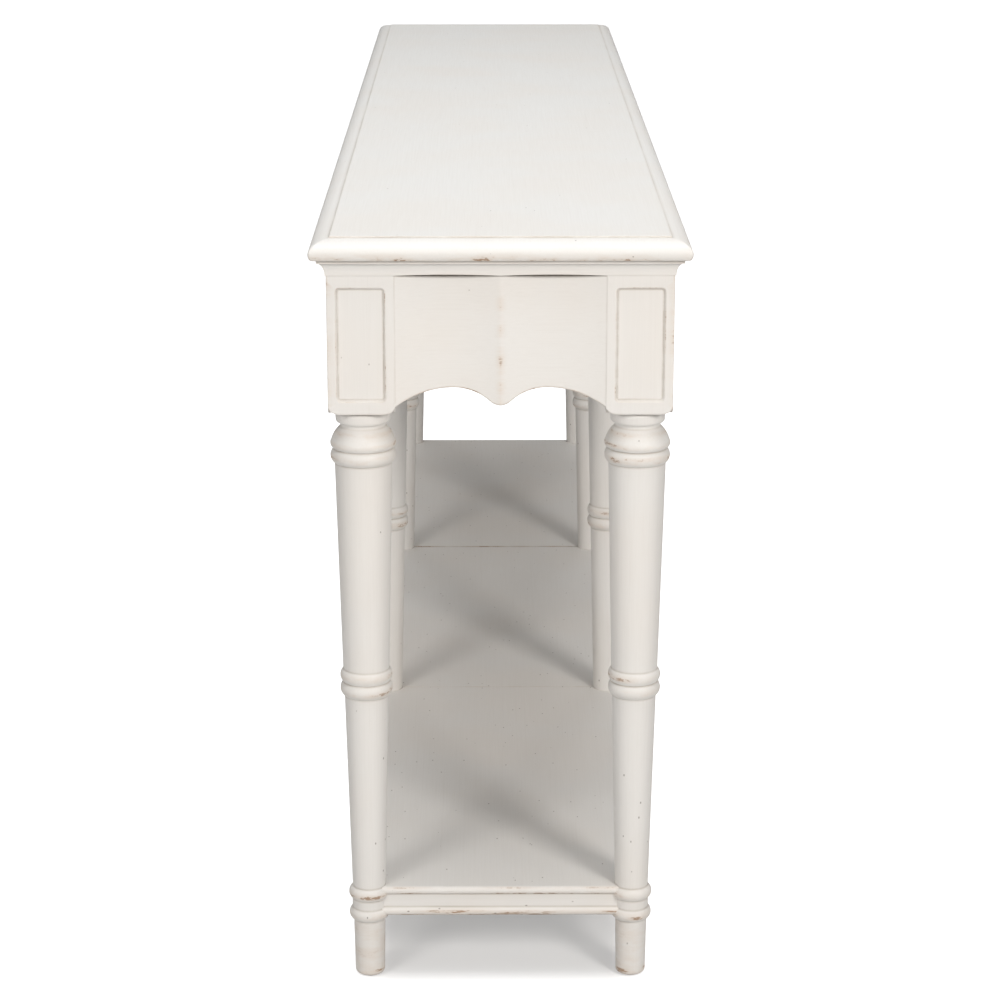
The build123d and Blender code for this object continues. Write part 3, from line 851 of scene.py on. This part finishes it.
def makeHead(panelFaces, topZ):
    half = headHalf / mm
    # corner number f lies between faces f and f + 1; only a corner with no apron is rounded and worn
    rounds = []
    for f in range(4):
        free = f in panelFaces and (f + 1) % 4 in panelFaces
        rounds.append(leg["arris"] if free else leg["jointArris"])
    lowRows = [(0.0, 1.6, 0.4), (0.35, 0.5, 0.4), (1.5, 0.0, 0.2), (2.6, 0.0, 0.0)]
    steps = leg["rowSteps"]
    upRows = [leg["rowsFrom"] + leg["rowsOver"] * k / steps for k in range(steps + 1)]
    topRows = [870.0, 880.0, topZ / mm]
    across = [0, -35, -30, -26, -20, -10, 0, 10, 20, 26, 30, 35, 0]
    shape = newShape()
    columns = []  # (face, along the face, out from the axis, wear of the corner)
    for face in range(4):
        before, after = rounds[face - 1], rounds[face]
        places = [before - half] + across[1:-1] + [half - after]
        wearBefore, wearAfter = [leg["cornerWear"] * (arris > 1) for arris in (before, after)]
        edgeWear = [wearBefore] + [0.0] * (len(across) - 2) + [wearAfter]
        columns += [(face, u, half, wear) for u, wear in zip(places, edgeWear)]
        inner = half - after
        for a in (radians(30), radians(60)):
            columns.append((face, inner + after * sin(a), inner + after * cos(a), wearAfter))

    def turned(face, u, out, z):
        return Matrix.Rotation(face * pi / 2, 3, "Z") @ Vector((u * mm, -out * mm, z * mm))

    def bottomAt(reach):
        # the lathe rounds the lower corners, past a radius from the leg's axis
        start, stop = leg["headTurnFrom"], leg["headTurnTo"]
        past = min(1.0, max(0.0, (reach - start) / (stop - start)))
        return leg["headBottom"] + leg["headCornerRise"] * (1 - sqrt(1 - past**2))

    rows = []
    for lift, inset, edgeWorn in lowRows:
        row = []
        for face, u, out, wear in columns:
            shrink = 1 - inset / half
            z = bottomAt(hypot(u, out)) + lift
            row.append(addPoint(shape, turned(face, u * shrink, out * shrink, z), max(edgeWorn, wear)))
        rows.append(row)
    # the top row carries glaze with painted shade, under the cove
    for z in upRows + topRows:
        rows.append([
            addPoint(shape, turned(face, u, out, z), wear, 0.6 if z == topRows[-1] else 0.0)
            for face, u, out, wear in columns
        ])
    firstUp, lastUp = len(lowRows), len(lowRows) + len(upRows) - 1
    total, faceColumns = len(columns), len(across)
    perFace = total // 4
    for r in range(len(rows) - 1):
        for c in range(total):
            face, inFace = divmod(c, perFace)
            if face in panelFaces and firstUp <= r < lastUp and inFace < faceColumns - 1:
                continue
            d = (c + 1) % total
            shape.faces.new((rows[r][c], rows[r][d], rows[r + 1][d], rows[r + 1][c]))
    shape.faces.new(rows[-1])
    # the collar under the head carries full glaze with painted shade
    ring = []
    collar = Vector((0, 0, (leg["headBottom"] + leg["collarRise"]) * mm))
    for face, u, out, _ in columns:
        inward = turned(face, u, out, 0).normalized() * leg["collarInset"] * mm
        ring.append(addPoint(shape, inward + collar, 0.0, 1.0))
    skin(shape, [ring, rows[0]])
    shape.faces.new(ring)

    for face in panelFaces:
        first = face * perFace
        border = [rows[firstUp][first + k] for k in range(faceColumns - 1)]
        border += [rows[r][first + faceColumns - 1] for r in range(firstUp, lastUp)]
        border += [rows[lastUp][first + k] for k in range(faceColumns - 1, 0, -1)]
        border += [rows[r][first] for r in range(lastUp, firstUp, -1)]
        depth = panel["depth"]
        # (grow, sink, worn, glaze with painted shade) from the rounded outer edge, down the bevel, to
        # the flat; the glaze and painted shade sit in the bottom of the recess
        steps = [
            (1.6, 0.0, 0.0, 0.0),
            (0.45, 0.0, 0.3, 0.0),
            (0.1, 0.1, 0.8, 0.0),
            (-0.25, 0.45, 0.6, 0.1),
            (0.8 - panel["bevel"], depth - 0.8, 0.0, 0.5),
            (-panel["bevel"], depth, 0.0, 1.0),
            (-panel["bevel"] - 0.7, depth, 0.0, 0.5),
            (-panel["bevel"] - 2.0, depth, 0.0, 0.0),
        ]
        loops = [border]
        for grow, sink, worn, glazeAndShade in steps:
            loop = []
            for u, z, deep in panelOutline(grow, sink, faceColumns, len(upRows)):
                loop.append(addPoint(shape, turned(face, u, half - deep, z), worn, glazeAndShade))
            loops.append(loop)
        skin(shape, loops)
        shape.faces.new(loops[-1])
    return shape


turnedMesh = turnLeg()
for (side, number), (legX, legY) in legPlaces.items():
    node = f"leg_{side}_{number}"
    # faces of the head: 0 front, 1 right, 2 back, 3 left
    outward = [0 if side == "front" else 2] + {1: [3], 4: [1]}.get(number, [])
    head = makeHead(outward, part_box(node)[1].z)
    head.from_mesh(turnedMesh)
    bmesh.ops.translate(head, verts=head.verts, vec=(legX, legY, 0))
    name = "leg" + side.capitalize() + str(number)
    finishPiece(head, name, paintUpright, [node], 38)

print("stage: the shelf")

shelf = {
    "lip": 14.5,  # past the legs' centre line
    "notch": 20.1,
    "gap": 0.2,
    "arcSteps": 20,
    "endSteps": 56,
    "sideSteps": 64,
    "seamWear": 1.0,
    "seamFaint": 0.3,
    "seamChip": 1.2,
    "noseWear": (0, 0.1, 0.6, 0.9, 0.6, 0.3, 0.2, 0.2, 0.3, 0.6, 0.5, 0.2, 0),
}


def straightRun(start, end):
    steps = shelf["endSteps"] if start[0] == end[0] else shelf["sideSteps"]
    (x, y), (endX, endY) = start, end
    return [(x + (endX - x) * k / steps, y + (endY - y) * k / steps) for k in range(steps + 1)]


def boardOutline(leftX, rightX, leftOuter, rightOuter, inset, grow):
    # plan of one board, anticlockwise; an outer edge moves in by inset, notches and seams by grow
    # each point has its kind: 0 bullnosed edge, 1 notch, 2 seam
    radius = (shelf["notch"] + grow) * mm
    halfY = pairY + (shelf["lip"] - inset) * mm
    over = halfY - pairY
    runX = sqrt(radius**2 - over**2)
    quarter = []
    for x, outer, toward in ((rightX, rightOuter, 1), (leftX, leftOuter, -1)):
        legX = pairX[3] * toward if outer else x
        past = (shelf["lip"] - inset) * mm if outer else -(shelf["gap"] + grow) * mm
        dy = sqrt(radius**2 - past**2)
        quarter.append((legX, legX + toward * past, pairY - dy, legX - toward * runX))
    (legR, edgeR, cutR, startR), (legL, edgeL, cutL, startL) = quarter
    kindR, kindL = (0 if rightOuter else 2), (0 if leftOuter else 2)
    steps = shelf["arcSteps"]

    def arc(centreX, centreY, fromPoint, toPoint):
        first = atan2(fromPoint[1] - centreY, fromPoint[0] - centreX)
        last = atan2(toPoint[1] - centreY, toPoint[0] - centreX)
        if last > first:
            last -= 2 * pi
        angles = [first + (last - first) * k / steps for k in range(steps + 1)]
        return [(centreX + radius * cos(a), centreY + radius * sin(a)) for a in angles]

    pieces = [
        (straightRun((edgeR, -cutR), (edgeR, cutR)), kindR),
        (arc(legR, pairY, (edgeR, cutR), (startR, halfY)), 1),
        (straightRun((startR, halfY), (startL, halfY)), 0),
        (arc(legL, pairY, (startL, halfY), (edgeL, cutL)), 1),
        (straightRun((edgeL, cutL), (edgeL, -cutL)), kindL),
        (arc(legL, -pairY, (edgeL, -cutL), (startL, -halfY)), 1),
        (straightRun((startL, -halfY), (startR, -halfY)), 0),
        (arc(legR, -pairY, (startR, -halfY), (edgeR, -cutR)), 1),
    ]
    return [(x, y, kind) for points, kind in pieces for x, y in points[:-1]]


def makeShelfBoard(name, node, leftX, rightX, leftOuter, rightOuter):
    lo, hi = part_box(node)
    thick = (hi.z - lo.z) / mm
    nose = thick / 2
    shape = newShape()
    # (inset, grow, height, worn on the nose, glaze with painted shade under the nose), from the
    # underside round the nose to the top
    section = [(nose + 6, 6, 0, 0, 0)]
    for step, worn in enumerate(shelf["noseWear"]):
        angle = radians(-90 + 180 * step / 12)
        inset, height = nose - nose * cos(angle), nose + nose * sin(angle)
        section.append((inset, 0, height, worn, 0.7 if step < 2 else 0))
    section += [(nose + 1.2, 1.2, thick, 0, 0), (nose + 4, 4, thick, 0, 0), (nose + 9, 9, thick, 0, 0)]
    rows = []
    for inset, grow, height, worn, glazeAndShade in section:
        row = []
        for x, y, kind in boardOutline(leftX, rightX, leftOuter, rightOuter, inset, grow):
            rub, dirtAndShade, drop = worn, glazeAndShade, 0.0
            # painted shade with glaze round the leg notches; in the seams between boards the darkening
            # is dirt in the joint
            if kind:
                rub, dirtAndShade = 0.0, 0.5 if grow == 0 else 0.0
            if kind == 2:
                plain = abs(x - pairX[1]) < 0.02  # one seam is far more worn than the other
                dirtAndShade = max(dirtAndShade, shelf["seamWear"] * plain * (grow < 2))
                strong = shelf["seamWear"] if plain else shelf["seamFaint"]
                rub = strong * (1.0, 0.75, 0.0)[(grow > 1) + (grow > 3)] if height > nose else 0.0
                chip = max(0.0, noise.noise(Vector((x, y, 0)) * 70) + 0.1)
                drop = chip * strong * shelf["seamChip"] * mm if height == thick and grow < 1 else 0.0
            row.append(addPoint(shape, (x, y, lo.z + height * mm - drop), rub, dirtAndShade))
        rows.append(row)
    skinAndCap(shape, rows)
    finishPiece(shape, name, paintAlongX, [node], 40)


makeShelfBoard("shelfBoard1", "shelf_board_1", -pairX[3], pairX[1], True, False)
makeShelfBoard("shelfBoard2", "shelf_board_2", pairX[1], pairX[2], False, False)
makeShelfBoard("shelfBoard3", "shelf_board_3", pairX[2], pairX[3], False, True)

rail = {
    "face": 11.0,  # past the legs' centre line
    "thickness": 18.0,
    "beadHeight": 10.5,
    "beadReach": 3.5,
    "buried": 14.0,  # where the rail stops inside the turning, from the leg's axis
    "step": 0.012,
    "beadWear": (0.95, 0.8, 0.65, 0.8, 0.9, 0.8, 0.4, 0.2, 0, 0),
    "beadGlazeAndShade": (0, 0, 0, 0, 0, 0, 0, 0, 0.4, 1.0),
}


def railSection(lowZ, highZ):
    # closed section as (outward, height, worn, glaze with painted shade)
    face, bead, reach = rail["face"], rail["beadHeight"], rail["beadReach"]
    inner = face - rail["thickness"]
    points = [(face - 1.0, lowZ, 0.5, 0), (face, lowZ, 0.9, 0)]
    arc = arcThrough((face, lowZ), (face + reach, lowZ + bead / 2), (face, lowZ + bead), 10)
    for (out, z), worn, glazeAndShade in zip(arc, rail["beadWear"], rail["beadGlazeAndShade"]):
        points.append((out, z, worn, glazeAndShade))
    points += [
        # glaze with painted shade in the crease over the bead and at the top edge, under the shelf
        (face, lowZ + bead + 0.8, 0, 0.6),
        (face, lowZ + bead + 2.5, 0, 0),
        (face, highZ - 2, 0, 0.1),
        (face, highZ, 0, 0.9),
        (inner, highZ, 0, 0),
        (inner, lowZ + 1, 0.2, 0),
        (inner + 1, lowZ, 0.3, 0),
    ]
    return points


def railTree():
    # sweeps a closed section along a straight line
    inputs = [("Start", "Vector"), ("End", "Vector"), ("Stations", "Int"), ("Material", "Material")]
    tree, start, end = newTree("shelfRail", inputs)
    section = addNode(tree, "GeometryNodeMeshToCurve", {"Mesh": start.outputs["Geometry"]})
    values = {"Start": start.outputs["Start"], "End": start.outputs["End"]}
    line = addNode(tree, "GeometryNodeCurvePrimitiveLine", values)
    values = {"Curve": line.outputs[0], "Count": start.outputs["Stations"]}
    parted = addNode(tree, "GeometryNodeResampleCurve", values)
    upright = addNode(tree, "GeometryNodeSetCurveNormal", {"Curve": parted.outputs[0]}, mode="Z_UP")
    values = {"Curve": upright.outputs[0], "Profile Curve": section.outputs[0], "Fill Caps": True}
    swept = addNode(tree, "GeometryNodeCurveToMesh", values)
    endTree(tree, swept.outputs[0], start, end)
    return tree


railNodes = railTree()


def makeRail(name, node, start, end, material):
    # the line runs anticlockwise round the table, so the section's outward side is on its right
    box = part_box(node)
    points = railSection(box[0].z / mm, box[1].z / mm)
    places = [(out * mm, -z * mm, 0) for out, z, _, _ in points]
    edges = [(k, (k + 1) % len(points)) for k in range(len(points))]
    _, _, worn, glazeAndShade = zip(*points)
    mesh = lineMesh("railSection", places, edges, {"worn": worn, "glazeAndShade": glazeAndShade})
    length = (Vector(end) - Vector(start)).length
    values = {"Start": start, "End": end, "Stations": int(length / rail["step"]), "Material": material}
    baked = bakeTree(mesh, railNodes, values)
    shape = bmesh.new()
    shape.from_mesh(baked)
    finishPiece(shape, name, material, [node], 40)


bury = rail["buried"] * mm
for number in (1, 2, 3):
    startX, endX = pairX[number - 1] + bury, pairX[number] - bury
    for side, first, last, y in (("front", startX, endX, -pairY), ("back", endX, startX, pairY)):
        name, node = f"shelfRail{side.capitalize()}{number}", f"shelf_rail_{side}_{number}"
        makeRail(name, node, (first, y, 0), (last, y, 0), paintAlongX)
endY = pairY - bury
for side, x, y in (("right", pairX[3], endY), ("left", pairX[0], -endY)):
    name, node = "shelfRail" + side.capitalize(), "shelf_rail_" + side
    makeRail(name, node, (x, -y, 0), (x, y, 0), paintAlongY)

print("stage: the fasteners and glides")

screw = {
    "headRadius": 4.4,
    "headHeight": 3.0,
    "shankRadius": 2.2,
    "recess": 1.7,
    "sides": 24,
}
lag = {
    "headRadius": 7.0,
    "headHeight": 3.0,
    "shankRadius": 3.0,
    "length": 55.0,
    "point": 10.0,
    "hex": 0.045,  # how far the head's flats pull in
    "sides": 24,
}
glide = {
    "radius": 11.0,
    "height": 2.0,
    "pinRadius": 1.2,
    "pinPoint": 14.0,
    "pinTop": 16.0,
    "sides": 32,
}


def spunPattern(name, rings, sides):
    # rings of (radius, height), and lobes where the ring is pulled into a star or hexagon
    shape = bmesh.new()
    rows = []
    for radius, height, *lobes in rings:
        row = []
        for k in range(sides):
            a = 2 * pi * k / sides
            r = radius * (1 + sum(lobes) * cos(6 * a))
            row.append(shape.verts.new((r * mm * cos(a), r * mm * sin(a), height * mm)))
        rows.append(row)
    skinAndCap(shape, rows)
    return addObject(name, meshFrom(shape, name))


def setTree():
    # sets one pattern on every point, turned so that its Z lies along the point's aim
    inputs = [("Pattern", "Object"), ("Material", "Material")]
    tree, start, end = newTree("setOnPoints", inputs)
    info = addNode(tree, "GeometryNodeObjectInfo", {"Object": start.outputs["Pattern"]})
    aim = addNode(tree, "GeometryNodeInputNamedAttribute", {"Name": "aim"}, data_type="FLOAT_VECTOR")
    turn = addNode(tree, "FunctionNodeAlignRotationToVector", {"Vector": aim.outputs[0]}, axis="Z")
    values = {"Points": start.outputs["Geometry"], "Instance": info.outputs["Geometry"]}
    values["Rotation"] = turn.outputs[0]
    placed = addNode(tree, "GeometryNodeInstanceOnPoints", values)
    endTree(tree, placed.outputs[0], start, end)
    return tree


setNodes = setTree()


def looseBoxes(node):
    # the box of each separate solid in a CAD node
    shape = bmesh.new()
    shape.from_mesh(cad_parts[node].data)
    bmesh.ops.remove_doubles(shape, verts=shape.verts, dist=sameSpot)
    left, boxes = set(shape.verts), []
    while left:
        group, queue = set(), [left.pop()]
        while queue:
            vert = queue.pop()
            group.add(vert)
            for edge in vert.link_edges:
                other = edge.other_vert(vert)
                if other in left:
                    left.discard(other)
                    queue.append(other)
        lows = Vector([min(v.co[axis] for v in group) for axis in range(3)])
        highs = Vector([max(v.co[axis] for v in group) for axis in range(3)])
        boxes.append((lows, highs))
    shape.free()
    return sorted(boxes, key=lambda box: tuple(round(c, 4) for c in box[0]))


def makeSet(name, node, places, rings, sides, material):
    # places are (point, direction)
    pattern = spunPattern(name + "Pattern", rings, sides)
    mesh = bpy.data.meshes.new("places")
    mesh.from_pydata([tuple(p) for p, _ in places], [], [])
    aims = mesh.attributes.new("aim", "FLOAT_VECTOR", "POINT")
    aims.data.foreach_set("vector", [c for _, aim in places for c in aim])
    baked = bakeTree(mesh, setNodes, {"Pattern": pattern, "Material": material})
    bpy.data.objects.remove(pattern)
    placePiece(baked, name, material, [node], 35)


def woodScrew(length):
    head, shank, hole = screw["headRadius"], screw["shankRadius"], screw["recess"]
    return [
        (hole * 0.8, 1.5, 0.16),
        (hole, 0.15, 0.16),
        (hole * 1.08, 0.0, 0.14),
        (head - 0.25, 0.0),
        (head, 0.25),
        (shank, screw["headHeight"]),
        (shank, length - 5),
        (0.4, length - 0.2),
    ]


def placesByLength(node):
    # the foot of each upright solid in a node, sorted by the solids' lengths
    groups = {}
    for low, high in looseBoxes(node):
        foot = Vector(((low.x + high.x) / 2, (low.y + high.y) / 2, low.z))
        groups.setdefault(round((high.z - low.z) / mm, 1), []).append((foot, (0, 0, 1)))
    return sorted(groups.items())


for word, node in (("shelfScrews", "shelf_screws"), ("topScrews", "top_screws")):
    for number, (length, places) in enumerate(placesByLength(node)):
        name = word + str(number + 1)
        makeSet(name, node, places, woodScrew(length), screw["sides"], steel)

lagStarts = []
for low, high in looseBoxes("lag_screws"):
    middle = (low + high) / 2
    aim = Vector((copysign(1, middle.x), copysign(1, middle.y), 0)).normalized()
    lagStarts.append((middle - aim * lag["length"] * mm / 2, aim))
head, high, shank, length = [lag[k] for k in ("headRadius", "headHeight", "shankRadius", "length")]
lagRings = [
    (head * 0.80, 0.0),
    (head * 0.88, 0.25, lag["hex"]),
    (head * 0.90, high - 0.6, lag["hex"]),
    (head * 0.98, high - 0.5),
    (head * 0.98, high),
    (shank, high),
    (shank, length - lag["point"]),
    (0.5, length - 1),
]
makeSet("lagScrews", "lag_screws", lagStarts, lagRings, lag["sides"], steel)

glidePlaces = []
for low, high in looseBoxes("foot_glides"):
    glidePlaces.append((Vector(((low.x + high.x) / 2, (low.y + high.y) / 2, 0)), (0, 0, 1)))
disc, high, pin = glide["radius"], glide["height"], glide["pinRadius"]
glideRings = [
    (disc * 0.2, 0.5),
    (disc * 0.24, 0.12),
    (disc * 0.32, 0.0),
    (disc * 0.84, 0.0),
    (disc * 0.94, 0.2),
    (disc, 0.8),
    (disc, high),
    (pin, high),
    (pin, glide["pinPoint"]),
    (0.3, glide["pinTop"]),
]
makeSet("footGlides", "foot_glides", glidePlaces, glideRings, glide["sides"], nylon)

print("stage: the hidden wood keeps its CAD shape")


def recoat(node, material):
    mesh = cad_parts[node].data
    mesh.materials.clear()
    mesh.materials.append(material)


for number in (1, 2):
    recoat(f"bearer_{number}", woodAlongY)
    recoat(f"shelf_cross_rail_{number}", woodAlongY)
for side in ("front", "back"):
    for end in ("left", "right"):
        recoat(f"corner_brace_{side}_{end}", woodAlongX)

print("stage: the floor")

floorMesh = bpy.data.meshes.new("floor")
reach = studio["floorSize"] / 2
corners = [(x * reach, y * reach, 0) for x, y in ((-1, -1), (1, -1), (1, 1), (-1, 1))]
floorMesh.from_pydata(corners, [], [(0, 1, 2, 3)])
floor = addObject("floor", floorMesh)
floorMaterial, floorTree, floorShader, floorPlace = newMaterial("paleFloor")
floorShader.inputs["Base Color"].default_value = (*studio["floorTint"], 1)
floorShader.inputs["Roughness"].default_value = 0.9
floorShader.inputs["Specular IOR Level"].default_value = 0.1
floorShader.inputs["Emission Color"].default_value = (1, 1, 1, 1)


def measure(how, *terms):
    return addNode(floorTree, "ShaderNodeVectorMath", dict(enumerate(terms)), operation=how).outputs


# distance from a box round the feet, inside which the floor's camera-only glow is weaker, a painted
# shadow
mirrored = measure("ABSOLUTE", floorPlace)[0]
beyond = measure("MAXIMUM", measure("SUBTRACT", mirrored, studio["shadowHalf"])[0], (0, 0, 0))[0]
away = measure("LENGTH", beyond)["Value"]
near, far = studio["floorGlowNear"], studio["floorGlowFar"]
glow = rampTo(floorTree, away, 0.0, studio["shadowFade"], near, far)
direct = addNode(floorTree, "ShaderNodeLightPath").outputs["Is Camera Ray"]
plug(floorTree, floorShader, {"Emission Strength": times(floorTree, glow, direct)})
floorMesh.materials.append(floorMaterial)
